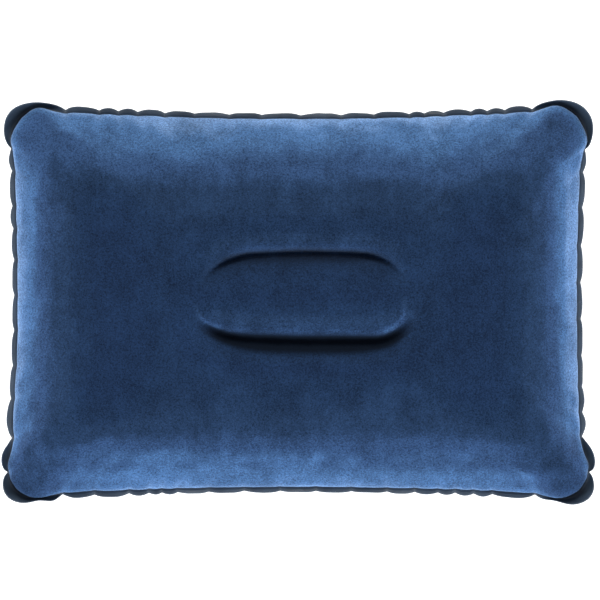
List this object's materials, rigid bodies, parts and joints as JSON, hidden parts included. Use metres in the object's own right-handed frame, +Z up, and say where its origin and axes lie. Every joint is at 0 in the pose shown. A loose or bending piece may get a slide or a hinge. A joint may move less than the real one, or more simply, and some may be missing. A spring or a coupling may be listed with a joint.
{
  "type": "camp pillow",
  "caption": "Rectangular inflatable camp pillow with a flocked top, a plain welded underside, a raised centre pad between two creases, and a push-in mouth valve underneath.",
  "frame": {"origin": "centre of the flat underside that the pillow rests on", "axes": "+Z up through the crown, +X along the long side, +Y towards the back long side"},
  "size_m": [0.4408, 0.2994, 0.092],
  "materials": {
    "flock": "matte",
    "underside_film": "satin",
    "weld_band": "satin",
    "web_film": "satin",
    "valve_soft": "satin"
  },
  "bodies": {
    "underside": {"bottom_panel": "underside_film", "web_rear": "web_film", "web_front": "web_film", "valve_base": "valve_soft", "valve_skirt": "valve_soft"},
    "crown": {"top_panel": "flock"},
    "edge": {"edge_weld_band": "weld_band"},
    "valve_stem": {"valve_stem": "valve_soft"},
    "valve_cap": {"valve_plug": "valve_soft", "valve_strap": "valve_soft"},
    "valve_flap": {"valve_flap": "web_film"}
  },
  "joints": [
    {"name": "crown_press", "type": "slide", "parent": "underside", "child": "crown", "axis": [0, 0, -1], "range_m": [0, 0.04], "stiffness_N_per_m": 1500, "deforming": ["top_panel", "bottom_panel", "web_rear", "web_front"]},
    {"name": "edge_drop", "type": "slide", "parent": "underside", "child": "edge", "axis": [0, 0, -1], "range_m": [0, 0.0184]},
    {"name": "valve_stem_pull", "type": "slide", "parent": "underside", "child": "valve_stem", "axis": [0, 0, -1], "range_m": [0, 0.017], "deforming": ["valve_skirt"]},
    {"name": "plug_swing", "type": "hinge", "parent": "valve_stem", "child": "valve_cap", "pos_m": [0.121, -0.042, 0.00195], "axis": [0, -1, 0], "range_deg": [0, 120]},
    {"name": "flap_open", "type": "hinge", "parent": "valve_stem", "child": "valve_flap", "pos_m": [0.10625, -0.042, 0.01845], "axis": [0, -1, 0], "range_deg": [0, 60], "stiffness_Nm_per_rad": 0.0005}
  ],
  "couplings": [
    {"joint": "edge_drop", "follows": "crown_press", "ratio": 0.4565}
  ]
}
